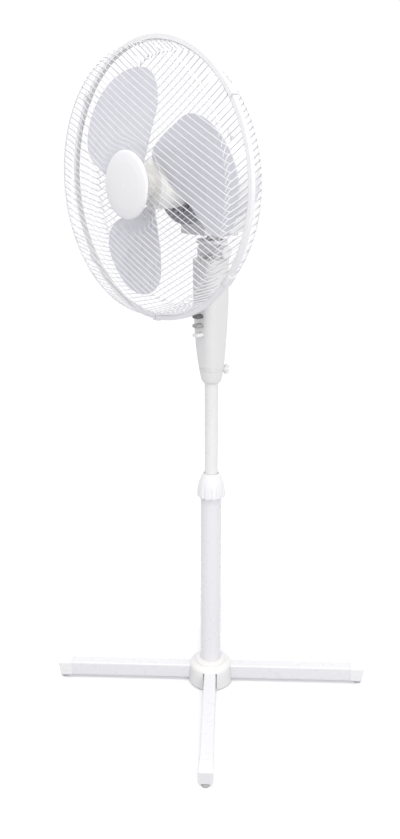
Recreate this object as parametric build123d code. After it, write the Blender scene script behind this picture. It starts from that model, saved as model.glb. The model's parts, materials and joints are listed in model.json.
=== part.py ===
"""Pedestal fan: cross base, telescopic pole, control neck, tilting and oscillating head with a 40 cm impeller.

Millimetres, +Z up. The origin is on the floor under the pole's axis, and the fan blows towards -Y.
"""

from build123d import *
from math import atan2, cos, degrees, pi, radians, sin, sqrt
import os

# ---- driving dimensions -------------------------------------------------------------------------------------------
LEG_REACH = 316.0  # pole axis to the outer end of a leg
LEG_W, LEG_H, LEG_WALL = 24.0, 30.0, 1.5
LEG_BOTTOM = 8.0  # the feet lift the legs this far
LEG_ANGLES = (-45.0, 45.0, 135.0, 225.0)
POLE_R, POLE_WALL, POLE_TOP = 20.3, 1.5, 430.0
TUBE_R, TUBE_WALL = 12.7, 1.2  # the sliding upper tube
TUBE_BOTTOM, TUBE_TOP = 250.0, 705.0
COLLAR_R, COLLAR_BOTTOM, COLLAR_TOP = 27.4, 416.0, 463.0
NECK_BOTTOM, NECK_TOP = 643.0, 868.0
TILT_Z = 882.0  # height of the tilt axis, which runs along X over the pole
HEAD_Z = 998.0  # height of the shaft's axis, which runs along Y
RIM_Y = -127.0  # plane where the front and rear guards meet
GUARD_R = 218.75  # outside of the band round the guards
BLADE_R, BLADE_COUNT, BLADE_PHASE = 188.0, 3, 7.0
BADGE_R = 52.5
RUN_FIT = 0.05  # radial clearance of a running fit
LOOSE = 0.4  # clearance between parts that pass each other

# ---- derived dimensions -------------------------------------------------------------------------------------------
LEG_TOP = LEG_BOTTOM + LEG_H
LEG_MID = (LEG_BOTTOM + LEG_TOP) / 2
CAP_LENGTH, CAP_SKIN, CAP_LEAN = 28.0, 1.0, 6.0
BEAM_REACH = LEG_REACH - 20.0
FOOT_R, FOOT_AT = 7.5, 304.0
POLE_BORE = POLE_R - POLE_WALL
MOTOR_FRONT, MOTOR_REAR = RIM_Y + 62.0, 72.0
MOTOR_R = 68.0
SHAFT_R = 4.0
CRANK_Y, CRANK_THROW, LINK_LENGTH = 46.0, 12.0, 42.0
CRANK_PIN_Y = CRANK_Y + CRANK_THROW
POST_Y = CRANK_PIN_Y - LINK_LENGTH
LINK_SLACK = 1.5  # the link's front eye is this much larger than its post all round
RIM_R, RIM_HALF = 211.0, 1.2  # centre and half thickness of the rim hoop of either guard
RIM_STEP = 1.4  # distance of either hoop from the plane where the guards meet
WIRE_HALF = 1.1  # half of the side of a square guard wire
GUARD_WIRES = 30
BAND_HALF, BAND_SCREW_R = 3.6, 219.2
BUTTON_LOWEST, BUTTON_PITCH = 736.0, 16.7
BUTTON_FACE = 41.0  # how far the buttons' faces stand in front of the pole's axis
BUTTON_Z = tuple(BUTTON_LOWEST + BUTTON_PITCH * k for k in (3, 2, 1, 0))
CLAMP_Z, GLAND_Z = 660.4, 686.0
SHELL_SCREW_X, SHELL_SCREW_Z = 12.0, 850.0
DRIVE_PIN_Y = -90.0
HUB_R, HUB_FRONT, HUB_REAR = 40.0, RIM_Y - 14.0, -86.0
WORM_WHEEL_X, WORM_WHEEL_Y, WORM_WHEEL_R = 17.2, 26.0, 10.6
GEAR_Z0, GEAR_Z1 = HEAD_Z - 14, HEAD_Z - 7
PINION_R = 8.0
GEAR_R = sqrt(WORM_WHEEL_X**2 + (CRANK_Y - WORM_WHEEL_Y) ** 2) - PINION_R - 0.6


# ---- helpers ------------------------------------------------------------------------------------------------------
def rod_z(r, z0, z1, x=0.0, y=0.0):
    return Pos(x, y, (z0 + z1) / 2) * Cylinder(r, z1 - z0)


def rod_y(r, y0, y1, x=0.0, z=HEAD_Z):
    return Pos(x, (y0 + y1) / 2, z) * Rot(90, 0, 0) * Cylinder(r, y1 - y0)


def rod_x(r, x0, x1, y=0.0, z=TILT_Z):
    return Pos((x0 + x1) / 2, y, z) * Rot(0, 90, 0) * Cylinder(r, x1 - x0)


def block(x0, x1, y0, y1, z0, z1):
    return Pos((x0 + x1) / 2, (y0 + y1) / 2, (z0 + z1) / 2) * Box(x1 - x0, y1 - y0, z1 - z0)


def tube_z(r_out, r_in, z0, z1, x=0.0, y=0.0):
    return rod_z(r_out, z0, z1, x, y) - rod_z(r_in, z0 - 1, z1 + 1, x, y)


def tube_y(r_out, r_in, y0, y1, x=0.0, z=HEAD_Z):
    return rod_y(r_out, y0, y1, x, z) - rod_y(r_in, y0 - 1, y1 + 1, x, z)


def turned_z(points):
    """A solid of revolution about the pole's axis, from (radius, z) points."""
    outline = make_face(Polyline([(r, 0, z) for r, z in points], close=True))
    return revolve(outline, Axis.Z, 360)


def turned_y(points):
    """A solid of revolution about the shaft's axis, from (radius, y) points."""
    axis = Axis((0, 0, HEAD_Z), (0, 1, 0))
    outline = make_face(Polyline([(r, y, HEAD_Z) for r, y in points], close=True))
    return revolve(outline, axis, 360)


def hexagon_z(across_flats, z0, z1):
    outline = RegularPolygon(across_flats / sqrt(3), 6)
    return extrude(Pos(0, 0, z0) * outline, z1 - z0)


def around_head(shape, angle):
    """Turns a shape about the shaft's axis; 0 is +X and 90 is up, seen from in front."""
    return Pos(0, 0, HEAD_Z) * Rot(0, -angle, 0) * Pos(0, 0, -HEAD_Z) * shape


def save(name, shape):
    export_step(shape if isinstance(shape, Compound) else Compound([shape]), f"parts/{name}.step")


def save_group(name, shapes):
    export_step(Compound(shapes), f"parts/{name}.step")


# ---- base ---------------------------------------------------------------------------------------------------------
def leg_beam(notch_from, notch_to, angle):
    """One of the two crossed tubes, with half of its height cut away where they cross."""
    outer = block(-BEAM_REACH, BEAM_REACH, -LEG_W / 2, LEG_W / 2, LEG_BOTTOM, LEG_TOP)
    outer = fillet(outer.edges().filter_by(Axis.X), 3.0)
    half, wall = LEG_W / 2, LEG_WALL
    inner = block(-BEAM_REACH - 1, BEAM_REACH + 1, wall - half, half - wall, LEG_BOTTOM + wall, LEG_TOP - wall)
    notch = block(-half - 0.1, half + 0.1, -half - 1, half + 1, notch_from, notch_to)
    beam = outer - inner - notch - rod_z(4.2, 0, LEG_TOP + 5)
    return Rot(0, 0, angle) * beam


def leg_cap():
    """The plastic cap of a leg lying along +X: a skin over the tube's end, a spigot in it and a leaning nose."""
    half = LEG_W / 2 + CAP_SKIN
    start = LEG_REACH - CAP_LENGTH
    shell = block(start, LEG_REACH, -half, half, LEG_BOTTOM - CAP_SKIN, LEG_TOP + CAP_SKIN)
    shell = fillet(shell.edges().filter_by(Axis.X), 3.8)
    lean = atan2(CAP_LEAN, LEG_H + 2 * CAP_SKIN)
    cutter = Pos(LEG_REACH, 0, LEG_TOP + CAP_SKIN) * Rot(0, degrees(lean), 0) * Pos(20, 0, 0) * Box(40, 60, 120)
    shell = shell - cutter
    shell = fillet(shell.edges().filter_by(Axis.Y).sort_by(Axis.X)[-2:], 2.5)
    pocket = block(start - 1, BEAM_REACH, -LEG_W / 2, LEG_W / 2, LEG_BOTTOM, LEG_TOP)
    spigot_w = LEG_W / 2 - LEG_WALL - 0.1
    low, high = LEG_BOTTOM + LEG_WALL + 0.1, LEG_TOP - LEG_WALL - 0.1
    spigot = block(start - 22, BEAM_REACH + 1, -spigot_w, spigot_w, low, high)
    cap = (shell - pocket) + spigot
    for side in (-1, 1):
        for z in (17.0, 27.0):
            cap -= Pos(LEG_REACH - 15.5, side * half, z) * Rot(90, 0, 0) * Cylinder(2.0, 1.6)
    return cap - rod_z(2.6, 0, 17, FOOT_AT)


def foot_pad():
    pad = rod_z(FOOT_R, 0, LEG_BOTTOM - CAP_SKIN, FOOT_AT)
    pad = fillet(pad.edges().sort_by(Axis.Z)[0], 1.2)
    return pad + rod_z(2.5, LEG_BOTTOM - CAP_SKIN - 0.5, 16.0, FOOT_AT)


def hub_cover():
    """The moulded cover over the crossing, with a stepped top and one slot for each leg."""
    outer = [(46, 3), (43, 34), (42, 39), (40, 42), (31.5, 47.5), (31, 50), (28.5, 52.5), (22.2, 54)]
    inner = [(POLE_R + 0.2, 54), (POLE_R + 0.2, 48), (27.5, 47), (30, 45), (38, 39.5), (40.5, 35), (43.5, 3)]
    cover = turned_z(outer + inner)
    for angle in LEG_ANGLES:
        cover -= Rot(0, 0, angle) * block(15, 60, -LEG_W / 2 - 2, LEG_W / 2 + 2, 0, LEG_TOP)
    return cover


def pole_plug():
    return rod_z(POLE_BORE, LEG_TOP, LEG_TOP + 12) - rod_z(4.0, 0, LEG_TOP + 20)


def base_bolt():
    return hexagon_z(13.0, 1.4, 6.5) + rod_z(4.0, 6.5, LEG_TOP + 11)


def base_washer():
    return tube_z(10.0, 4.2, 6.5, LEG_BOTTOM)


def lower_pole():
    return tube_z(POLE_R, POLE_BORE, LEG_TOP, POLE_TOP)


def pole_collet():
    """The split bush in the pole's top, which the collar closes on the sliding tube."""
    bore = TUBE_R + RUN_FIT
    bush = turned_z(
        [(bore, 375), (POLE_BORE - 0.02, 375), (POLE_BORE - 0.02, POLE_TOP), (POLE_R, POLE_TOP), (POLE_R, 433)]
        + [(16.4, 433), (16.4, 452), (14.2, 458.5), (bore, 458.5)]
    )
    slots = block(-30, 30, -1, 1, 436, 470) + block(-1, 1, -30, 30, 436, 470)
    for z in (438.0, 442.0, 446.0):
        bush += tube_z(16.9, 15.9, z, z + 1.6)
    return bush - slots


# ---- height collar ------------------------------------------------------------------------------------------------
def height_collar():
    """The bell-shaped lock nut, with twelve shallow flutes that scallop its lower edge."""
    bell = [(COLLAR_R - 0.6, COLLAR_BOTTOM), (COLLAR_R, 420), (COLLAR_R - 0.6, 427), (25.2, 438), (22.3, 448)]
    lip = [(18.1, 457.5), (15.2, COLLAR_TOP), (13.9, COLLAR_TOP), (13.9, 460.5)]
    bore = [(15.1, 459.4), (16.95, 453), (16.95, 433.4)]
    skirt = [(POLE_R + LOOSE, 433.4), (POLE_R + LOOSE, 424), (23.6, COLLAR_BOTTOM)]
    collar = turned_z(bell + lip + bore + skirt)
    for k in range(12):
        angle = 30.0 * k + 15.0
        groove = Pos(COLLAR_R + 1.1, 0, 432) * Rot(0, -4.0, 0) * Cylinder(4.0, 36)
        scallop = Pos(COLLAR_R - 1.6, 0, COLLAR_BOTTOM - 4.2) * Rot(0, 90, 0) * Cylinder(6.0, 14)
        collar = collar - Rot(0, 0, angle) * groove - Rot(0, 0, angle) * scallop
    return collar


# ---- neck ---------------------------------------------------------------------------------------------------------
NECK_SECTIONS = (
    # height, width, distance of the front and of the back from the pole's axis, corner radius
    (648.0, 36.4, 18.4, 18.0, 17.6),
    (666.0, 42.0, 21.4, 20.6, 18.5),
    (704.0, 48.0, 25.3, 21.9, 17.5),
    (759.0, 54.0, 27.9, 23.2, 17.0),
    (814.0, 57.0, 28.7, 23.8, 17.5),
    (NECK_TOP, 58.0, 28.9, 24.0, 17.5),
)
NECK_FOOT = [(0, NECK_BOTTOM), (15.4, NECK_BOTTOM), (17.2, 645), (17.8, 648), (0, 648)]


def neck_body(inset):
    """The tapered neck, drawn in by a wall's thickness."""
    rings = []
    for z, width, front, back, corner in NECK_SECTIONS:
        outline = RectangleRounded(width - 2 * inset, front + back - 2 * inset, corner - inset)
        rings.append(Pos(0, (back - front) / 2, z) * outline)
    return loft(rings)


def neck_grooves():
    """Two fine grooves round the neck's foot."""
    bands = block(-60, 60, -60, 60, 666.9, 668.1) + block(-60, 60, -60, 60, 671.4, 672.6)
    return (neck_body(0) - neck_body(0.7)) & bands


def neck_shells():
    outer = neck_body(0) + turned_z(NECK_FOOT) - neck_grooves()
    inner = neck_body(2.5) & block(-60, 60, -60, 60, 692, NECK_TOP - 3)
    for x in (-SHELL_SCREW_X, SHELL_SCREW_X):
        inner -= rod_y(4.6, -40, 40, x, SHELL_SCREW_Z)
    shell = outer - inner - rod_z(TUBE_R + 0.02, NECK_BOTTOM - 5, TUBE_TOP)
    for x0, x1 in ((-25.4, -18.4), (18.4, 25.4)):
        shell += rod_x(11.0, x0, x1) + block(x0, x1, -11, 11, NECK_TOP - 3, TILT_Z)
    shell -= rod_x(4.05, -40, 40)
    front = shell & block(-60, 60, -60, 0, 600, 900)
    rear = shell & block(-60, 60, 0, 60, 600, 900)
    for z in BUTTON_Z:
        front -= button_blank(z, 0.35, -60, -10)
    rear -= rod_y(2.6, 10, 60, 0, CLAMP_Z) + rod_y(4.2, 10, 60, 0, GLAND_Z)
    for x in (-SHELL_SCREW_X, SHELL_SCREW_X):
        front -= rod_y(1.6, -12, 1, x, SHELL_SCREW_Z)
        rear -= rod_y(1.6, -1, 60, x, SHELL_SCREW_Z) + rod_y(3.6, 20, 60, x, SHELL_SCREW_Z)
    return front, rear


def button_blank(z, grow, y0, y1):
    outline = SlotOverall(15.4 + 2 * grow, 6.8 + 2 * grow)
    blank = extrude(outline, y1 - y0)
    return Pos(0, y1, z) * Rot(90, 0, 0) * blank


def neck_screws():
    screws = []
    for x in (-SHELL_SCREW_X, SHELL_SCREW_X):
        screws.append(rod_y(1.55, -11, 20, x, SHELL_SCREW_Z) + rod_y(3.4, 20, 22.4, x, SHELL_SCREW_Z))
    return screws


def switch_block():
    body = block(-16, 16, -13, 6, 724, 798)
    for z in BUTTON_Z:
        body -= block(-4.3, 4.3, -14, -6.6, z - 2.8, z + 2.8)
    return body


def push_button(z):
    """A long oval cap on a stem that runs into the switch block."""
    cap = button_blank(z, 0, -BUTTON_FACE, -17.5)
    rim = cap.edges().filter_by(GeomType.CIRCLE).sort_by(Axis.Y)[:2]
    cap = fillet(rim + cap.edges().filter_by(Axis.X).sort_by(Axis.Y)[:2], 1.6)
    return cap + block(-3.8, 3.8, -18, -11.2, z - 2.3, z + 2.3) - rod_y(2.0, -16.2, -10, 0, z)


def button_spring(z):
    """A closed coil standing between the bore of the button's stem and the floor of its pocket."""
    return tube_y(1.8, 1.1, -12.0, -6.8, 0, z)


def clamp_knob():
    """The wing screw at the back of the neck that fixes the head on the tube."""
    knob = rod_y(2.5, TUBE_R + 0.3, 34, 0, CLAMP_Z) + rod_y(4.4, 29, 39, 0, CLAMP_Z)
    for side in (-1, 1):
        knob += rod_x(4.9, -2.3, 2.3, 38.2, CLAMP_Z + side * 4.8)
    return knob


def cord_gland():
    """The grommet where a mains lead enters the neck."""
    barrel = rod_y(4.1, 14.5, 24, 0, GLAND_Z) + rod_y(5.6, 22.2, 24.8, 0, GLAND_Z)
    return barrel - rod_y(2.8, 12, 30, 0, GLAND_Z)


def run_capacitor():
    return fillet(block(-17, 17, 2, 18.4, 812, 838).edges().filter_by(Axis.Z), 2.0)


# ---- tilt bracket -------------------------------------------------------------------------------------------------
def tilt_bracket():
    """Turns on the neck's ears and carries the upright pin that the head swings on."""
    tongue = rod_x(11.0, -18.0, 18.0) + block(-18, 18, -11, 11, TILT_Z, 897)
    table = rod_z(27.0, 895, 901)
    bracket = tongue + table + rod_z(2.0, 900.5, 907.5, 0, POST_Y)
    return bracket - rod_x(4.05, -30, 30) - rod_z(6.0 + RUN_FIT, 887.5, 910)


def tilt_bolt():
    bolt = rod_x(4.0, -25.4, 33.0) + rod_x(7.5, -30.5, -25.4)
    return bolt


def tilt_knob():
    """The hand nut that holds the tilt."""
    knob = rod_x(10.0, 25.4, 38.0)
    for k in range(8):
        a = radians(45 * k)
        knob += rod_x(2.6, 25.4, 38.0, 9.6 * cos(a), TILT_Z + 9.6 * sin(a))
    return knob - rod_x(4.0, 20, 33.0)


# ---- head frame ---------------------------------------------------------------------------------------------------
def motor_bracket():
    """The die-cast cradle under the motor, with the boss for the upright pin."""
    cradle = block(-24, 24, -40, 10, 926, 958) - rod_y(48.0 + RUN_FIT, -60, 60)
    boss = rod_z(9.0, 901.6, 910) + rod_z(17.0, 909, 928)
    return cradle + boss - rod_z(6.0, 880, 922) - crank_space()


def crank_space():
    """The room under the gearbox where the crank turns."""
    return rod_z(24.0, 901, 915.5, 0, CRANK_Y)


def yaw_pin():
    return rod_z(6.0, 888.5, 922)


def motor_front_cover():
    """The round plate that closes the motor casing and carries the rear guard."""
    y0 = MOTOR_FRONT
    plate = turned_y(
        [(9.2, y0 - 14), (24, y0 - 14), (24, y0), (MOTOR_R, y0), (MOTOR_R, y0 + 10), (MOTOR_R - 2.5, y0 + 10)]
        + [(MOTOR_R - 2.5, y0 + 2.5), (26, y0 + 2.5), (26, y0 + 3.5), (9.2, y0 + 3.5)]
    )
    for k in range(24):
        plate -= around_head(block(30, 54, y0 - 2, y0 + 5, HEAD_Z - 1.6, HEAD_Z + 1.6), 15 * k)
    return plate


def motor_rear_cover():
    """The domed casing over motor and gearbox, open underneath for the cradle and the crank."""
    y0, y1 = MOTOR_FRONT + 10, MOTOR_REAR
    outside = [(0, y0), (MOTOR_R, y0), (MOTOR_R, 25), (65, 43), (59, 57), (48, 67), (30, y1), (0, y1 + 1.5)]
    inside = [(0, y0 - 1), (MOTOR_R - 2.5, y0 - 1), (MOTOR_R - 2.5, 24), (62, 42), (56, 55), (46, 64)]
    inside += [(29, y1 - 3), (0, y1 - 1)]
    skirt = block(-30, 30, -45, 66, 912, HEAD_Z)
    cover = turned_y(outside) + skirt - turned_y(inside) - block(-27.5, 27.5, -42.5, 63.5, 900, 955)
    for k in range(28):
        angle = 10 * k - 45
        cover -= around_head(block(16, 40, 55, 90, HEAD_Z - 1.5, HEAD_Z + 1.5), angle)
    return cover - rod_z(6.6, HEAD_Z + 40, HEAD_Z + 90, 0, CRANK_Y)


def motor_bell(y0, y1, y_lip):
    """An end bell: a plate with a bearing seat and a rim that grips the stator."""
    low, high = min(y0, y_lip), max(y0, y_lip)
    rim = tube_y(48.0, 45.5, low, high)
    plate = tube_y(48.0, 8.0, min(y0, y1), max(y0, y1))
    for k in range(6):
        plate -= around_head(rod_y(7.0, y0 - 9, y0 + 9, 30, HEAD_Z), 60 * k + 30)
    return rim + plate


def stator():
    core = tube_y(45.4, 26.0, -40, -4)
    for k in range(8):
        core -= around_head(block(24, 38, -41, 0, HEAD_Z - 3, HEAD_Z + 3), 45 * k)
    return core


def stator_winding():
    """The coil heads standing out of both faces of the core."""
    return [tube_y(40, 29.5, -45.5, -40), tube_y(40, 29.5, -4, 1.5)]


def rotor():
    return tube_y(25.4, SHAFT_R, -41, -3)


def motor_shaft():
    """The shaft, with the worm that drives the oscillation cut in its tail, drawn as closed rings."""
    tail = [(0, 18), (5.2, 18)]
    for k in range(4):
        y = 19 + 3.4 * k
        tail += [(5.2, y), (6.4, y + 0.6), (6.4, y + 1.4), (5.2, y + 2.0)]
    shaft = rod_y(SHAFT_R, -152, 33) + turned_y(tail + [(5.2, 33), (0, 33)])
    return shaft - rod_x(1.5, -10, 10, DRIVE_PIN_Y, HEAD_Z)


def bearing(y0, y1):
    return tube_y(8.0, SHAFT_R + RUN_FIT, y0, y1)


def toothed(r, z0, z1, x, y, teeth, phase=0.0):
    """A disc with round tooth gaps cut in its edge."""
    disc = rod_z(r, z0, z1, x, y)
    gap = 1.1 * r * pi / teeth / 2
    for k in range(teeth):
        a = radians(360.0 / teeth * (k + phase))
        disc -= rod_z(gap, z0 - 1, z1 + 1, x + (r + 0.2) * cos(a), y + (r + 0.2) * sin(a))
    return disc


def worm_wheel():
    """The wheel beside the worm, moulded in one with the pinion under it, on a pin of its own."""
    wheel = toothed(WORM_WHEEL_R, HEAD_Z - 4, HEAD_Z + 4, WORM_WHEEL_X, WORM_WHEEL_Y, 24)
    return wheel + toothed(PINION_R, GEAR_Z0, HEAD_Z - 3.5, WORM_WHEEL_X, WORM_WHEEL_Y, 16)


def crank_gear():
    """The large gear that turns loose on the crank's shaft until the knob couples it."""
    return toothed(GEAR_R, GEAR_Z0, GEAR_Z1, 0, CRANK_Y, 36, 0.5) - rod_z(3.0 + RUN_FIT, 900, 1030, 0, CRANK_Y)


def gearbox_housing():
    """The gear case inside the casing, with a column down to the crank."""
    limit = turned_y([(0, 20), (60, 20), (60, 40), (53, 54), (44, 62.5), (28, 68), (0, 68)])
    case = block(-30, 30, 22, 68, 968, 1022) & limit
    case -= block(-24.5, 28.5, 14, 64.8, GEAR_Z0 - 0.6, HEAD_Z + 10)
    case += rod_z(9.0, 918, 969, 0, CRANK_Y) + block(-14, 14, 14, 23, 970, 976)
    return case - rod_z(3.0 + RUN_FIT, 900, 1030, 0, CRANK_Y)


def crank_disc():
    """The crank under the gearbox, in one piece with its upright shaft."""
    disc = rod_z(16.0, 909.5, 913.5, 0, CRANK_Y) + rod_z(3.0, 913, HEAD_Z, 0, CRANK_Y)
    return disc + rod_z(2.4, 902.3, 910, 0, CRANK_PIN_Y)


def crank_link():
    """The rod from the crank's pin to the bracket's post, whose eye is open by the slack of a plain stamped link."""
    z0, z1 = 903.0, 906.5
    bar = block(-3.4, 3.4, POST_Y, CRANK_PIN_Y, z0, z1)
    rod = bar + rod_z(5.6, z0, z1, 0, POST_Y) + rod_z(4.6, z0, z1, 0, CRANK_PIN_Y)
    return rod - rod_z(2.0 + LINK_SLACK, 890, 920, 0, POST_Y) - rod_z(2.4 + RUN_FIT, 890, 920, 0, CRANK_PIN_Y)


def oscillation_knob():
    """The pull knob on top: pressed down, it couples the wheel to its shaft."""
    stem = rod_z(2.9, 1010, 1071, 0, CRANK_Y)
    top = rod_z(7.5, 1071, 1084, 0, CRANK_Y)
    top = fillet(top.edges().sort_by(Axis.Z)[-1], 2.0)
    return stem + top


# ---- guards -------------------------------------------------------------------------------------------------------
def mitred(profile, offset):
    """The points of a (radius, y) profile moved sideways by an offset, mitred at the bends."""
    moved = []
    for k, (r, y) in enumerate(profile):
        normals = []
        for (r0, y0), (r1, y1) in zip(profile[max(k - 1, 0) : k + 1], profile[max(k, 1) : k + 2]):
            length = sqrt((r1 - r0) ** 2 + (y1 - y0) ** 2)
            normals.append((-(y1 - y0) / length, (r1 - r0) / length))
        (a0, b0), (a1, b1) = normals[0], normals[-1]
        share = offset / (1 + a0 * a1 + b0 * b1)
        moved.append((r + (a0 + a1) * share, y + (b0 + b1) * share))
    return moved


def guard_wire(profile):
    """A square wire standing in the plane of the shaft's axis, along a (radius, y) profile."""
    outline = mitred(profile, WIRE_HALF) + mitred(profile, -WIRE_HALF)[::-1]
    face = make_face(Polyline([(r, y, HEAD_Z) for r, y in outline], close=True))
    return extrude(face, WIRE_HALF, both=True)


def guard_hoop(radius, y, half):
    """A square ring about the shaft's axis."""
    return tube_y(radius + half, radius - half, y - half, y + half)


def guard_cage(profile, hoops):
    """The solids of a welded cage: its hoops, and radial wires along a profile that end on them."""
    wire = guard_wire(profile)
    for ring in hoops:
        wire = wire - ring
    pitch = 360.0 / GUARD_WIRES
    return hoops + [around_head(wire, pitch * (k + 0.5)) for k in range(GUARD_WIRES)]


FRONT_CENTRE_R = 32.0
FRONT_PROFILE = [
    *((RIM_R - 0.4, RIM_Y - RIM_STEP), (204, RIM_Y - 36), (74, RIM_Y - 50)),
    *((62, RIM_Y - 37), (FRONT_CENTRE_R, RIM_Y - 36)),
]
REAR_PROFILE = [
    *((RIM_R - 0.4, RIM_Y + RIM_STEP), (200, RIM_Y + 38)),
    *((60, RIM_Y + 59.5), (34, MOTOR_FRONT - 1.5)),
]


def front_guard():
    """The front cage, dished in at the centre for the badge."""
    hoops = [guard_hoop(RIM_R, RIM_Y - RIM_STEP, RIM_HALF), guard_hoop(FRONT_CENTRE_R, RIM_Y - 36, 1.6)]
    return guard_cage(FRONT_PROFILE, hoops)


def rear_guard():
    """The rear cage with the plate that is clamped on the motor."""
    plate = tube_y(36.0, 24.2, MOTOR_FRONT - 3, MOTOR_FRONT)
    return guard_cage(REAR_PROFILE, [guard_hoop(RIM_R, RIM_Y + RIM_STEP, RIM_HALF), plate])


def guard_nut():
    """The plastic ring nut that clamps the rear guard on the motor's front plate."""
    nut = tube_y(32.0, 24.1, MOTOR_FRONT - 11, MOTOR_FRONT - 3)
    for k in range(12):
        lobe = block(30.5, 35, MOTOR_FRONT - 10, MOTOR_FRONT - 4, HEAD_Z - 3, HEAD_Z + 3)
        nut += around_head(lobe, 30 * k)
    return nut


def guard_band():
    """The split channel that holds the two rims together."""
    groove, lip = RIM_R + RIM_HALF + 0.2, RIM_R + 0.75
    half, wall = BAND_HALF, BAND_HALF - 0.9
    band = turned_y(
        [(GUARD_R, RIM_Y - half), (GUARD_R, RIM_Y + half), (lip, RIM_Y + half), (lip, RIM_Y + wall)]
        + [(groove, RIM_Y + wall), (groove, RIM_Y - wall), (lip, RIM_Y - wall), (lip, RIM_Y - half)]
    )
    band -= around_head(block(200, 225, RIM_Y - 20, RIM_Y + 20, HEAD_Z - 1.5, HEAD_Z + 1.5), -90)
    z = HEAD_Z - BAND_SCREW_R
    for side in (-1, 1):
        band -= rod_x(2.3, *sorted((side * 6.5, side * 14)), RIM_Y, z)
        band += block(*sorted((side * 1.5, side * 6.5)), RIM_Y - half, RIM_Y + half, z - 2.0, z + 3.0)
    return band - rod_x(1.2 + RUN_FIT, -10, 10, RIM_Y, z)


def band_screw():
    z = HEAD_Z - BAND_SCREW_R
    return rod_x(1.2, -6.5, 8.0, RIM_Y, z) + rod_x(2.0, -8.5, -6.5, RIM_Y, z)


def guard_clips():
    """Four moulded clips snapped over the band."""
    clips = []
    for angle in (38, 142, 218, 322):
        clip = block(GUARD_R, GUARD_R + 2.4, RIM_Y - 6, RIM_Y + 6, HEAD_Z - 9, HEAD_Z + 9)
        for side in (-1, 1):
            y_in, y_out = RIM_Y + side * (BAND_HALF + 0.1), RIM_Y + side * 6
            clip += block(GUARD_R - 5, GUARD_R + 1, *sorted((y_in, y_out)), HEAD_Z - 9, HEAD_Z + 9)
        clips.append(around_head(clip, angle))
    return clips


def badge():
    """The plain domed disc at the centre of the front guard, with a boss that plugs into the innermost hoop."""
    back, boss = RIM_Y - 58.2, FRONT_CENTRE_R - 1.7
    face = [(0, back - 5.4), (20, back - 5.0), (36, back - 4.0), (47, back - 2.4), (51, back - 1.2)]
    edge = [(BADGE_R, back + 0.4), (BADGE_R, back + 1.8), (BADGE_R - 2, back + 1.8), (BADGE_R - 2, back + 0.6)]
    plug = [(boss, back + 0.6), (boss, RIM_Y - 33), (boss - 2.4, RIM_Y - 33), (boss - 2.4, back)]
    return turned_y(face + edge + plug + [(0, back - 2.6)])


# ---- rotor group --------------------------------------------------------------------------------------------------
BLADE_STATIONS = (
    # distance along the blade's axis, chord, pitch from the plane of rotation in degrees
    (14.0, 110.0, 22.0),
    (50.0, 146.0, 17.0),
    (100.0, 210.0, 11.0),
    (150.0, 216.0, 9.0),
    (200.0, 216.0, 8.0),
)
BLADE_MID_Y = RIM_Y - 8.0
BLADE_THICK = 2.4
BLADE_OUTLINE = (
    # radius, angle from the blade's axis: a wide paddle with one round end, rooted ahead of its axis
    *((36, 50), (52, 56), (68, 53.5), (88, 48.5), (107, 44.5), (121, 42), (135, 40), (152, 36), (168, 28)),
    *((180, 17), (187, 5), (BLADE_R, -6), (184, -18), (176, -28), (162, -34), (143, -36.5), (118, -36)),
    *((88, -29), (63, -20), (38, 2)),
)


def blade():
    """One blade reaching out along +X: a twisted, cambered sheet trimmed to the paddle's outline."""
    sections = []
    for distance, chord, pitch in BLADE_STATIONS:
        half, camber, edge = chord / 2, chord * 0.03, BLADE_THICK / 5
        start, finish = (-half, -edge), (half, -edge)
        back_finish, back_start = (half, edge), (-half, edge)
        outline = make_face(
            [
                ThreePointArc(start, (0, -BLADE_THICK / 2 - camber), finish),
                Line(finish, back_finish),
                ThreePointArc(back_finish, (0, BLADE_THICK / 2 - camber), back_start),
                Line(back_start, start),
            ]
        )
        across = (0, -sin(radians(pitch)), cos(radians(pitch)))
        plane = Plane(origin=(distance, BLADE_MID_Y, HEAD_Z), x_dir=across, z_dir=(1, 0, 0))
        sections.append(plane * outline)
    return loft(sections) & paddle_prism()


def paddle_prism():
    """The paddle's outline, pushed through along the shaft."""
    points = [(r * cos(radians(a)), r * sin(radians(a))) for r, a in BLADE_OUTLINE]
    outline = make_face([Spline(*points), Line(points[-1], points[0])])
    prism = extrude(outline, 160)
    return Pos(0, RIM_Y + 80, HEAD_Z) * Rot(90, 0, 0) * prism


def impeller():
    """The cup-shaped hub with its three blades."""
    bore = SHAFT_R + 0.02
    hub = turned_y(
        [(bore, HUB_REAR), (bore, HUB_FRONT), (22, HUB_FRONT), (31, HUB_FRONT + 3), (37, HUB_FRONT + 8)]
        + [(HUB_R, HUB_FRONT + 16), (HUB_R, HUB_REAR), (37.6, HUB_REAR), (37.6, HUB_FRONT + 17)]
        + [(34, HUB_FRONT + 9), (20, HUB_FRONT + 3), (9, HUB_FRONT + 3), (9, HUB_REAR)]
    )
    blades = [around_head(blade(), BLADE_PHASE + 360.0 / BLADE_COUNT * k) for k in range(BLADE_COUNT)]
    wheel = hub.fuse(*blades)
    core = rod_y(37.6, HUB_FRONT + 18, -60) - rod_y(9.0, -200, -50)
    slot = block(-6.2, 6.2, DRIVE_PIN_Y - 1.6, HUB_REAR + 1, HEAD_Z - 1.55, HEAD_Z + 1.55)
    return wheel - core - rod_y(bore, -160, -50) - slot


def drive_pin():
    return rod_x(1.5, -6.0, 6.0, DRIVE_PIN_Y, HEAD_Z)


def spinner_nut():
    """The left-hand nut that holds the impeller."""
    face, bore = HUB_FRONT - 0.2, SHAFT_R + 0.02
    dome = turned_y(
        [(0, face - 18), (13, face - 16.5), (18, face - 12), (20, face - 6), (20, face), (bore, face)]
        + [(bore, face - 12), (0, face - 12)]
    )
    for k in range(6):
        dome -= around_head(rod_y(2.2, face - 30, face - 3, 20.8, HEAD_Z), 60 * k)
    return dome


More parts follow.
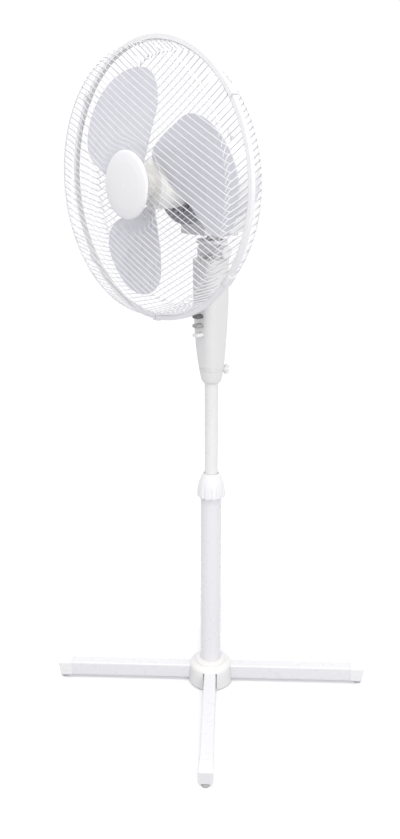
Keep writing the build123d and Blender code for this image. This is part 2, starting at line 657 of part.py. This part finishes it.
# ---- write every node ---------------------------------------------------------------------------------------------
def write_parts():
    os.makedirs("parts", exist_ok=True)
    save("base_leg_lower", leg_beam(LEG_MID, LEG_TOP + 1, LEG_ANGLES[0]))
    save("base_leg_upper", leg_beam(LEG_BOTTOM - 1, LEG_MID, LEG_ANGLES[1]))
    cap, pad = leg_cap(), foot_pad()
    for number, angle in enumerate(LEG_ANGLES, 1):
        save(f"leg_cap_{number}", Rot(0, 0, angle) * cap)
        save(f"foot_pad_{number}", Rot(0, 0, angle) * pad)
    save("hub_cover", hub_cover())
    save("pole_plug", pole_plug())
    save("base_bolt", base_bolt())
    save("base_washer", base_washer())
    save("lower_pole", lower_pole())
    save("pole_collet", pole_collet())
    save("height_collar", height_collar())
    save("upper_tube", tube_z(TUBE_R, TUBE_R - TUBE_WALL, TUBE_BOTTOM, TUBE_TOP))
    save("tube_guide_bush", tube_z(POLE_BORE - RUN_FIT, TUBE_R + 0.02, TUBE_BOTTOM, TUBE_BOTTOM + 18))
    front, rear = neck_shells()
    save("neck_front_shell", front)
    save("neck_rear_shell", rear)
    save_group("neck_screws", neck_screws())
    save("switch_block", switch_block())
    for number, z in enumerate(BUTTON_Z):
        save(f"speed_button_{number}", push_button(z))
    save_group("button_springs", [button_spring(z) for z in BUTTON_Z])
    save("clamp_knob", clamp_knob())
    save("cord_gland", cord_gland())
    save("run_capacitor", run_capacitor())
    save("tilt_bracket", tilt_bracket())
    save("tilt_bolt", tilt_bolt())
    save("tilt_knob", tilt_knob())
    save("motor_bracket", motor_bracket())
    save("yaw_pin", yaw_pin())
    save("motor_front_cover", motor_front_cover())
    save("motor_rear_cover", motor_rear_cover())
    save_group("motor_end_bells", [motor_bell(-52, -48, -30), motor_bell(12, 8, -12)])
    save("stator", stator())
    save_group("stator_winding", stator_winding())
    save("rotor", rotor())
    save("motor_shaft", motor_shaft())
    save_group("shaft_bearings", [bearing(-52, -48), bearing(8, 12)])
    save("worm_wheel", worm_wheel())
    save("crank_gear", crank_gear())
    save("gearbox_housing", gearbox_housing())
    save("crank_disc", crank_disc())
    save("crank_link", crank_link())
    save("oscillation_knob", oscillation_knob())
    save_group("rear_guard", rear_guard())
    save("guard_nut", guard_nut())
    save_group("front_guard", front_guard())
    save("guard_band", guard_band())
    save("band_screw", band_screw())
    save_group("guard_clips", guard_clips())
    save("badge", badge())
    save("impeller", impeller())
    save("drive_pin", drive_pin())
    save("spinner_nut", spinner_nut())


write_parts()
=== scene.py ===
"""Looks of the pedestal fan: guard wires, materials, light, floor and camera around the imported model.

Metres, +Z up; the guards' measures are millimetres. The pole stands on the origin and the fan blows
towards -Y. Angles round the head are counted from +X towards +Z, which is anticlockwise seen from
the front.
"""

import json
from math import atan2, ceil, cos, hypot, pi, radians, sin, sqrt

import bpy
from mathutils import Matrix, Vector


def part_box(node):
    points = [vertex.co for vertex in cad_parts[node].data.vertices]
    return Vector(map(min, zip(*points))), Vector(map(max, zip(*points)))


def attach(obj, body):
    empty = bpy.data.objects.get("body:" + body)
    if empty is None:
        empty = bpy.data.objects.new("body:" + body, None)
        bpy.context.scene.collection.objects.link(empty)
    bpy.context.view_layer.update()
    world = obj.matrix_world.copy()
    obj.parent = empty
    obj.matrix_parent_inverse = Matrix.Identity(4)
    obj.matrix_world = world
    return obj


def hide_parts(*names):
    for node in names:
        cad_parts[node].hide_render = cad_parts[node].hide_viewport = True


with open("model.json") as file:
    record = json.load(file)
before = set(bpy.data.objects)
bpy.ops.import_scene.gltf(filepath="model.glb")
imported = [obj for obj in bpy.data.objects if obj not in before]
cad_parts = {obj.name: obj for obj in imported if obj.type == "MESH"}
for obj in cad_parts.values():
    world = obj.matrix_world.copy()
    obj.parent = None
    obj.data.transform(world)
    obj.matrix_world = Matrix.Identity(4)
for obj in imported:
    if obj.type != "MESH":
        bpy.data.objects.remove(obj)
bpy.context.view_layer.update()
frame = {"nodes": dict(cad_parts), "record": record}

MM = 0.001


# ---- places taken from the frame -------------------------------------------------------------------
def middle(node, axis):
    low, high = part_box(node)
    return (low[axis] + high[axis]) / 2


HEAD_Z = middle("badge", 2)  # height of the shaft's axis
RIM_Y = middle("guard_band", 1)  # plane where the two guards meet


def at_head(radius, angle, forward):
    """A point round the shaft's axis, in millimetres and radians, so far in front of the rim's plane."""
    return Vector((radius * MM * cos(angle), RIM_Y - forward * MM, HEAD_Z + radius * MM * sin(angle)))


# ---- camera ----------------------------------------------------------------------------------------
CAMERA_PLACE = Vector((1.0616, -1.0095, 1.0718))
CAMERA_RIGHT = Vector((0.67881, 0.73431, -0.00097))
CAMERA_UP = Vector((-0.23746, 0.22076, 0.94598))
CAMERA_LENS = 35.61  # millimetres
SENSOR_HEIGHT = 36.0  # millimetres
CLIP_START = 0.05
CLIP_END = 1000.0  # beyond the far edge of the floor


def add_camera():
    data = bpy.data.cameras.new("camera")
    data.sensor_fit = "VERTICAL"
    data.sensor_height = SENSOR_HEIGHT
    data.lens = CAMERA_LENS
    data.clip_start = CLIP_START
    data.clip_end = CLIP_END
    camera = bpy.data.objects.new("camera", data)
    right = CAMERA_RIGHT.normalized()
    up = CAMERA_UP.normalized()
    turn = Matrix((right, up, right.cross(up))).transposed()
    camera.matrix_world = Matrix.Translation(CAMERA_PLACE) @ turn.to_4x4()
    bpy.context.collection.objects.link(camera)
    bpy.context.scene.camera = camera


# ---- light and floor -------------------------------------------------------------------------------
ROOM_HIGH = (0.985, 0.985, 1.0)
ROOM_LOW = (0.55, 0.55, 0.60)
ROOM_STRENGTH = 1.06
ROOM_LIFT = 0.02  # moves the change between the two colours to just under the horizon
ROOM_CHANGE = (0.0, 0.01)  # where the change begins and ends, in lifted height of a unit direction
LAMPS = (
    # name, place, target, width in metres, watts, colour
    ("key", (0.9, -1.15, 3.5), (0.0, -0.1, 0.8), 1.5, 34.0, (1.0, 0.985, 0.96)),
    ("fill", (1.95, -0.95, 1.2), (0.0, 0.0, 0.6), 1.0, 17.0, (1.0, 0.985, 0.95)),
)
FLOOR_REACH = 400.0


def add_area(name, place, target, size, power, colour):
    data = bpy.data.lights.new(name, "AREA")
    data.shape = "DISK"
    data.size = size
    data.energy = power
    data.color = colour
    lamp = bpy.data.objects.new(name, data)
    lamp.location = place
    lamp.rotation_euler = (Vector(target) - Vector(place)).to_track_quat("-Z", "Y").to_euler()
    bpy.context.collection.objects.link(lamp)


def add_room():
    """A world that is white above the horizon and a cool grey below it."""
    world = bpy.data.worlds.new("studio")
    world.use_nodes = True
    tree = world.node_tree
    background = tree.nodes["Background"]
    background.inputs["Strength"].default_value = ROOM_STRENGTH
    direction = tree.nodes.new("ShaderNodeTexCoord")
    split = tree.nodes.new("ShaderNodeSeparateXYZ")
    lifted = tree.nodes.new("ShaderNodeMath")
    lifted.operation = "ADD"
    lifted.inputs[1].default_value = ROOM_LIFT
    ramp = tree.nodes.new("ShaderNodeValToRGB")
    for element, place, colour in zip(ramp.color_ramp.elements, ROOM_CHANGE, (ROOM_LOW, ROOM_HIGH)):
        element.position = place
        element.color = (*colour, 1.0)
    tree.links.new(direction.outputs["Generated"], split.inputs["Vector"])
    tree.links.new(split.outputs["Z"], lifted.inputs[0])
    tree.links.new(lifted.outputs["Value"], ramp.inputs["Fac"])
    tree.links.new(ramp.outputs["Color"], background.inputs["Color"])
    bpy.context.scene.world = world


def add_studio():
    """The room, a lamp high up and a weaker one beside the camera."""
    add_room()
    bpy.context.scene.view_settings.view_transform = "Standard"
    bpy.context.scene.view_settings.look = "None"
    for lamp in LAMPS:
        add_area(*lamp)


def add_floor():
    mesh = bpy.data.meshes.new("floor")
    reach = FLOOR_REACH
    corners = [(-reach, -reach, 0), (reach, -reach, 0), (reach, reach, 0), (-reach, reach, 0)]
    mesh.from_pydata(corners, [], [(0, 1, 2, 3)])
    floor = bpy.data.objects.new("floor", mesh)
    bpy.context.collection.objects.link(floor)
    mesh.materials.append(floor_material())
    floor.visible_diffuse = False  # matt surfaces get the room's lower colour from below instead


# ---- material tools --------------------------------------------------------------------------------
NOISE_LOW, NOISE_HIGH = 0.3, 0.7  # the stretch of a noise's values that is spread over a range
NOISE_ROUGHNESS = 0.55


class Nodes:
    """A small helper that adds shader nodes and links them."""

    def __init__(self, material):
        material.use_nodes = True
        self.tree = material.node_tree
        self.shader = self.tree.nodes["Principled BSDF"]

    def add(self, kind, **values):
        node = self.tree.nodes.new(kind)
        for key, value in values.items():
            if hasattr(node, key):
                setattr(node, key, value)
            else:
                node.inputs[key].default_value = value
        return node

    def link(self, source, target):
        self.tree.links.new(source, target)

    def coordinates(self):
        return self.add("ShaderNodeTexCoord").outputs["Object"]

    def noise(self, where, scale, detail):
        node = self.add("ShaderNodeTexNoise", Scale=scale, Detail=detail, Roughness=NOISE_ROUGHNESS)
        self.link(where, node.inputs["Vector"])
        return node.outputs["Fac"]

    def between(self, factor, low, high):
        """Spreads a noise from low to high."""
        node = self.add("ShaderNodeMapRange")
        node.inputs["From Min"].default_value = NOISE_LOW
        node.inputs["From Max"].default_value = NOISE_HIGH
        node.inputs["To Min"].default_value = low
        node.inputs["To Max"].default_value = high
        self.link(factor, node.inputs["Value"])
        return node.outputs["Result"]

    def blend(self, factor, first, second):
        """Spreads a noise from one colour to another."""
        ramp = self.add("ShaderNodeValToRGB")
        for element, place, colour in zip(ramp.color_ramp.elements, (NOISE_LOW, NOISE_HIGH), (first, second)):
            element.position = place
            element.color = (*colour, 1.0)
        self.link(factor, ramp.inputs["Fac"])
        return ramp.outputs["Color"]

    def from_shaft(self, start, finish):
        """0 nearer the shaft's axis than start, 1 beyond finish."""
        flat = self.add("ShaderNodeMapping")
        flat.inputs["Location"].default_value = (0.0, 0.0, -HEAD_Z)
        flat.inputs["Scale"].default_value = (1.0, 0.0, 1.0)
        self.link(self.coordinates(), flat.inputs["Vector"])
        length = self.add("ShaderNodeVectorMath", operation="LENGTH")
        self.link(flat.outputs["Vector"], length.inputs[0])
        share = self.add("ShaderNodeMapRange")
        share.inputs["From Min"].default_value = start
        share.inputs["From Max"].default_value = finish
        self.link(length.outputs["Value"], share.inputs["Value"])
        return share.outputs["Result"]

    def bump(self, height, strength, distance, normal=None):
        node = self.add("ShaderNodeBump", Strength=strength, Distance=distance)
        self.link(height, node.inputs["Height"])
        if normal is not None:
            self.link(normal, node.inputs["Normal"])
        return node.outputs["Normal"]


def shade(colour, factor):
    return tuple(min(1.0, channel * factor) for channel in colour)


CLOUD_SCALE = 22.0
GLOSS_SCALE = 60.0
GLOSS_SPREAD = 0.06  # how far the roughness strays either way
PEEL_DEPTH = 0.00012
GRAIN_SCALE = 2600.0
GRAIN_DEPTH = 0.00004
GRAIN_SHARE = 0.6  # strength of the grain against that of the peel


def coated(name, colour, roughness, mottle=0.025, peel=0.12, peel_scale=420.0, metallic=0.0):
    """A painted or moulded surface: faint cloudiness, uneven gloss, orange peel and a fine grain."""
    material = bpy.data.materials.new(name)
    nodes = Nodes(material)
    where = nodes.coordinates()
    cloud = nodes.noise(where, CLOUD_SCALE, detail=4.0)
    tint = nodes.blend(cloud, shade(colour, 1 - mottle), shade(colour, 1 + mottle))
    nodes.link(tint, nodes.shader.inputs["Base Color"])
    gloss = nodes.noise(where, GLOSS_SCALE, detail=2.0)
    uneven = nodes.between(gloss, roughness - GLOSS_SPREAD, roughness + GLOSS_SPREAD)
    nodes.link(uneven, nodes.shader.inputs["Roughness"])
    soft = nodes.bump(nodes.noise(where, peel_scale, detail=1.0), peel, PEEL_DEPTH)
    fine = nodes.bump(nodes.noise(where, GRAIN_SCALE, detail=2.0), peel * GRAIN_SHARE, GRAIN_DEPTH, soft)
    nodes.link(fine, nodes.shader.inputs["Normal"])
    nodes.shader.inputs["Metallic"].default_value = metallic
    return material, nodes


# ---- materials -------------------------------------------------------------------------------------
PAINT_WHITE = (0.70, 0.70, 0.715)
PLASTIC_WHITE = (0.76, 0.76, 0.765)
# painted light: the hub's brighter cream white stands in for warm light on it, not a colour of the plastic
HUB_WARM_LIGHT_COLOUR = (0.84, 0.835, 0.81, 1.0)
HUB_EDGE = (0.0400, 0.0415)  # radii where the solid hub ends and where the thin sheet begins
SHEET_ALPHA = 0.80
MIX_A, MIX_B, MIX_RESULT = 6, 7, 2  # the colour sockets of a Mix node


def floor_material():
    material, nodes = coated("floor", (0.97, 0.97, 0.97), 0.7, mottle=0.002, peel=0.02)
    nodes.shader.inputs["Specular IOR Level"].default_value = 0.2
    return material


def white_paint(name="white_paint", colour=PAINT_WHITE):
    material, nodes = coated(name, colour, 0.30, mottle=0.002, peel=0.015)
    nodes.shader.inputs["Coat Weight"].default_value = 0.25
    nodes.shader.inputs["Coat Roughness"].default_value = 0.12
    return material


def white_plastic(name="white_plastic", colour=PLASTIC_WHITE):
    material, nodes = coated(name, colour, 0.36, mottle=0.004, peel=0.05)
    nodes.shader.inputs["Subsurface Weight"].default_value = 0.05
    nodes.shader.inputs["Subsurface Radius"].default_value = (0.003, 0.003, 0.003)
    return material


def wire_coat():
    return coated("guard_wire", (0.72, 0.72, 0.73), 0.28, mottle=0.01, peel=0.10)[0]


def blade_plastic():
    """A clouded sheet that lets some light through. The solid hub is painted a brighter, cream white that
    stands in for warm light falling on it.
    """
    material, nodes = coated("blade_plastic", (0.72, 0.72, 0.77), 0.30, mottle=0.01, peel=0.05)
    out = nodes.from_shaft(*HUB_EDGE)
    sheet = nodes.shader.inputs["Base Color"].links[0].from_socket
    tint = nodes.add("ShaderNodeMix", data_type="RGBA")
    nodes.link(out, tint.inputs["Factor"])
    tint.inputs[MIX_A].default_value = HUB_WARM_LIGHT_COLOUR
    nodes.link(sheet, tint.inputs[MIX_B])
    nodes.link(tint.outputs[MIX_RESULT], nodes.shader.inputs["Base Color"])
    clear = nodes.add("ShaderNodeMapRange")
    clear.inputs["To Min"].default_value = 1.0
    clear.inputs["To Max"].default_value = SHEET_ALPHA
    nodes.link(out, clear.inputs["Value"])
    nodes.link(clear.outputs["Result"], nodes.shader.inputs["Alpha"])
    nodes.shader.inputs["Subsurface Weight"].default_value = 0.15
    nodes.shader.inputs["Subsurface Radius"].default_value = (0.01, 0.01, 0.011)
    return material


def nut_plastic():
    return coated("nut_plastic", (0.78, 0.765, 0.72), 0.38)[0]


def grey_plastic():
    return coated("grey_plastic", (0.40, 0.40, 0.43), 0.5, peel=0.2)[0]


def black_plastic():
    return coated("black_plastic", (0.035, 0.035, 0.04), 0.45, peel=0.2)[0]


def button_plastic(name="button_plastic", tone=0.80):
    return coated(name, (tone, tone, tone), 0.26)[0]


def nylon():
    return coated("nylon", (0.74, 0.74, 0.71), 0.5, peel=0.15)[0]


def foot_rubber():
    return coated("foot_rubber", (0.42, 0.42, 0.43), 0.75, peel=0.4, peel_scale=900.0)[0]


def zinc_steel():
    return coated("zinc_steel", (0.60, 0.61, 0.62), 0.32, mottle=0.06, peel=0.08, metallic=1.0)[0]


def die_cast():
    return coated("die_cast", (0.72, 0.72, 0.73), 0.45, mottle=0.02, peel=0.5, peel_scale=700.0)[0]


def core_steel():
    """Stacked laminations: fine steps along the shaft."""
    material, nodes = coated("core_steel", (0.30, 0.30, 0.32), 0.42, mottle=0.1, metallic=0.8)
    bands = nodes.add("ShaderNodeTexWave", Scale=320.0, Distortion=0.0)
    bands.bands_direction = "Y"
    nodes.link(nodes.coordinates(), bands.inputs["Vector"])
    nodes.link(nodes.bump(bands.outputs["Fac"], 0.5, 0.0002), nodes.shader.inputs["Normal"])
    return material


def copper_wire():
    """Enamelled turns lying round the coil heads."""
    material, nodes = coated("copper_wire", (0.60, 0.25, 0.12), 0.3, mottle=0.12, metallic=0.9)
    turns = nodes.add("ShaderNodeTexWave", Scale=260.0, Distortion=2.0)
    turns.wave_type = "RINGS"
    turns.rings_direction = "Y"
    nodes.link(nodes.coordinates(), turns.inputs["Vector"])
    nodes.link(nodes.bump(turns.outputs["Fac"], 0.8, 0.0003), nodes.shader.inputs["Normal"])
    return material


def sintered_bronze():
    return coated("sintered_bronze", (0.55, 0.40, 0.22), 0.45, mottle=0.1, peel=0.3, metallic=1.0)[0]


def capacitor_case():
    return coated("capacitor_case", (0.12, 0.12, 0.13), 0.4)[0]


SLOT_MATERIALS = {
    "white_paint": white_paint,
    "white_plastic": white_plastic,
    "guard_wire": wire_coat,
    "foot_rubber": foot_rubber,
    "steel": zinc_steel,
    "die_cast": die_cast,
    "nylon": nylon,
    "black_plastic": black_plastic,
    "grey_plastic": grey_plastic,
    "button_plastic": button_plastic,
    "blade_plastic": blade_plastic,
    "nut_plastic": nut_plastic,
    "core_steel": core_steel,
    "copper": copper_wire,
    "bronze": sintered_bronze,
    "capacitor_case": capacitor_case,
}
made = {slot: make() for slot, make in SLOT_MATERIALS.items()}

# painted light and shade: warm-tinted copies of the whites; the tube's is lighter (painted warm light), the
# neck shells' and hub cover's darker (painted shade with a warm cast)
WARM_LIT_PAINT = (0.735, 0.73, 0.715)
WARM_SHADED_PLASTIC = (0.715, 0.71, 0.70)
WARM_SHADED_MOULDINGS = ("neck_front_shell", "neck_rear_shell", "hub_cover")
# painted shade: speed buttons 0, 1 and 2 are darkened to paint the shadow of the guard above them
BUTTON_SHADE_TONES = (0.12, 0.12, 0.36)  # speed buttons 0, 1 and 2; the fourth keeps its slot's tone


def dress(node, material):
    mesh = frame["nodes"][node].data
    mesh.materials.clear()
    mesh.materials.append(material)


def dress_nodes():
    """Gives every node the material of its slot. Then it adds warm copies of the whites, with painted warm
    light on the tube and painted shade on the neck shells and hub cover, and buttons darkened with painted
    shade.
    """
    for part in frame["record"]["subparts"]:
        dress(part["node"], made[part["material_slot"]])
    dress("upper_tube", white_paint("warm_lit_paint", WARM_LIT_PAINT))
    shaded_plastic = white_plastic("warm_shaded_plastic", WARM_SHADED_PLASTIC)
    for node in WARM_SHADED_MOULDINGS:
        dress(node, shaded_plastic)
    for number, tone in enumerate(BUTTON_SHADE_TONES):
        dress(f"speed_button_{number}", button_plastic(f"button_shade_{number}", tone))


# ---- guard wires -----------------------------------------------------------------------------------
WIRE_PITCH = 9.5  # between the parallel wires of a face
SIDE_SPREAD = 1.12  # how many times further apart the wires of the side wall lie
WIRE_R = 0.68
RIM_R = 211.0
RIM_STEP = 1.4  # distance of either rim hoop from the plane where the guards meet
RIM_HOOP_R = 1.2
RIM_INSET = 0.6  # how far inside the rim hoop's centre line the side wires end
HOOP_STEPS = 144
SIDE_STEPS = 6
LONGEST_STEP = 24.0  # between the radii where the wires over a face have their points
LAP_SHARES = (1.0, 0.6, 0.3, 0.12)  # where a side wire's points lie inside the bend, in laps
LAP_LEAN = 8  # distance inside the bend that would lean a side wire by its whole slant


def tubes(name, body, slot, lines, thickness, closed=False):
    """One mesh of round wires that follow lists of points."""
    data = bpy.data.curves.new(name, "CURVE")
    data.dimensions = "3D"
    data.bevel_depth = thickness * MM
    data.bevel_resolution = 2
    data.use_fill_caps = True
    for line in lines:
        spline = data.splines.new("POLY")
        spline.points.add(len(line) - 1)
        for point, place in zip(spline.points, line):
            point.co = (*place, 1.0)
        spline.use_cyclic_u = closed
    curve = bpy.data.objects.new(name + "_line", data)
    bpy.context.collection.objects.link(curve)
    mesh = bpy.data.meshes.new_from_object(curve.evaluated_get(bpy.context.evaluated_depsgraph_get()))
    bpy.data.objects.remove(curve)
    return add_piece(name, body, slot, mesh)


def add_piece(name, body, slot, mesh):
    mesh.name = name
    for face in mesh.polygons:
        face.use_smooth = True
    mesh.materials.clear()
    mesh.materials.append(made[slot])
    piece = bpy.data.objects.new(name, mesh)
    bpy.context.collection.objects.link(piece)
    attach(piece, body)
    return piece


def hoop(radius, forward):
    return [at_head(radius, 2 * pi * k / HOOP_STEPS, forward) for k in range(HOOP_STEPS)]


def along_profile(profile, radius):
    """How far forward the guard's face is at a radius, from (radius, forward) pairs, outermost first."""
    for (r1, f1), (r0, f0) in zip(profile, profile[1:]):
        if radius >= r0:
            share = min(1.0, (radius - r0) / (r1 - r0))
            return f0 + (f1 - f0) * share
    return profile[-1][1]


def between_radii(profile):
    """The profile's radii, with more put in where they lie far apart."""
    radii = [profile[-1][0]]
    for (high, _), (low, _) in zip(profile, profile[1:]):
        count = max(1, ceil((high - low) / LONGEST_STEP))
        radii += [low + (high - low) * (k + 1) / count for k in range(count)]
    return sorted(radii)


def face_line(profile, offset, slope, side):
    """Half of a parallel wire over the dished face, from the centre line or the hole out to the edge."""
    places = [sqrt(r**2 - offset**2) for r in between_radii(profile) if r > abs(offset)]
    if abs(offset) >= profile[-1][0]:
        places.insert(0, 0.0)
    line = []
    for t in places:
        x = side * t * cos(slope) - offset * sin(slope)
        z = side * t * sin(slope) + offset * cos(slope)
        radius = hypot(x, z)
        line.append((radius, atan2(z, x), along_profile(profile, radius)))
    return line


def side_line(profile, rim, angle, slant, lap):
    """A wire from just inside the bend, over it and along the side wall to the rim, leaning by slant."""
    edge, forward = profile[0]
    rim_radius, rim_forward = rim
    line = []
    for radius in (edge - lap * share for share in LAP_SHARES):
        lean = slant * (edge - radius) / edge / LAP_LEAN
        line.append((radius, angle - lean, along_profile(profile, radius)))
    for k in range(SIDE_STEPS + 1):
        share = k / SIDE_STEPS
        radius = edge + (rim_radius - edge) * share
        line.append((radius, angle + slant * share / edge, forward + (rim_forward - forward) * share))
    return line


def guard_lines(profile, rim, slope, slant, lap):
    """Every wire of one guard: parallel wires over the face, and slanting ones along the side wall."""
    edge, centre = profile[0][0], profile[-1][0]
    lines, ends = [], []
    count = int(edge / WIRE_PITCH)
    for k in range(-count, count):
        offset = (k + 0.5) * WIRE_PITCH
        halves = [face_line(profile, offset, slope, side) for side in (-1, 1)]
        ends += [half[-1][1] for half in halves]
        if abs(offset) < centre:
            lines += halves
        else:
            lines.append(halves[0][:0:-1] + halves[1])
    ends.sort()
    pitch = WIRE_PITCH * SIDE_SPREAD / edge
    for angle, following in zip(ends, ends[1:] + [ends[0] + 2 * pi]):
        extra = max(1, round((following - angle) / pitch))
        for k in range(extra):
            lines.append(side_line(profile, rim, angle + (following - angle) * k / extra, slant, lap))
    return [[at_head(*point) for point in line] for line in lines]


# Profiles are pairs of radius and distance in front of the rim's plane, outermost first. A slope is
# the direction of the parallel wires, a slant is how far round the edge a side wire leans between
# the bend and the rim, and a lap is how far inside the edge a side wire starts.
FRONT_CENTRE = (32.0, 36.2)
FRONT_PROFILE = (
    *((205.6, 30.0), (205.0, 33.0), (203.2, 35.2), (200.0, 36.4), (194.0, 37.2), (78.0, 49.4)),
    *((74.5, 49.0), (71.5, 46.8), (65.5, 39.8), (62.0, 37.6), (57.0, 36.9), FRONT_CENTRE),
)
FRONT_SLOPE = radians(-28.5)
FRONT_SLANT = 17.0
FRONT_LAP = 7.0
REAR_CENTRE_HOOP = (34.0, -60.5)
REAR_PROFILE = (
    *((201.8, -32.0), (201.2, -35.0), (199.4, -37.3), (196.0, -38.5), (190.0, -39.5)),
    *((64.0, -58.9), (58.0, -59.6), (34.0, -60.8)),
)
REAR_SLOPE = radians(29.5)
REAR_SLANT = -16.0
REAR_LAP = 5.0


def add_front_guard():
    lines = guard_lines(FRONT_PROFILE, (RIM_R - RIM_INSET, RIM_STEP), FRONT_SLOPE, FRONT_SLANT, FRONT_LAP)
    wires = tubes("front_guard_wires", "head", "guard_wire", lines, WIRE_R)
    rings = [hoop(RIM_R, RIM_STEP), hoop(*FRONT_CENTRE)]
    hoops = tubes("front_guard_hoops", "head", "guard_wire", rings, RIM_HOOP_R, True)
    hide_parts("front_guard")
    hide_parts("front_guard")


def add_rear_guard():
    lines = guard_lines(REAR_PROFILE, (RIM_R - RIM_INSET, -RIM_STEP), REAR_SLOPE, REAR_SLANT, REAR_LAP)
    wires = tubes("rear_guard_wires", "head", "guard_wire", lines, WIRE_R)
    rings = [hoop(RIM_R, -RIM_STEP), hoop(*REAR_CENTRE_HOOP)]
    hoops = tubes("rear_guard_hoops", "head", "guard_wire", rings, RIM_HOOP_R, True)
    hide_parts("rear_guard")
    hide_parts("rear_guard")


# ---- build -----------------------------------------------------------------------------------------
add_camera()
add_studio()
add_floor()
dress_nodes()
add_front_guard()
add_rear_guard()
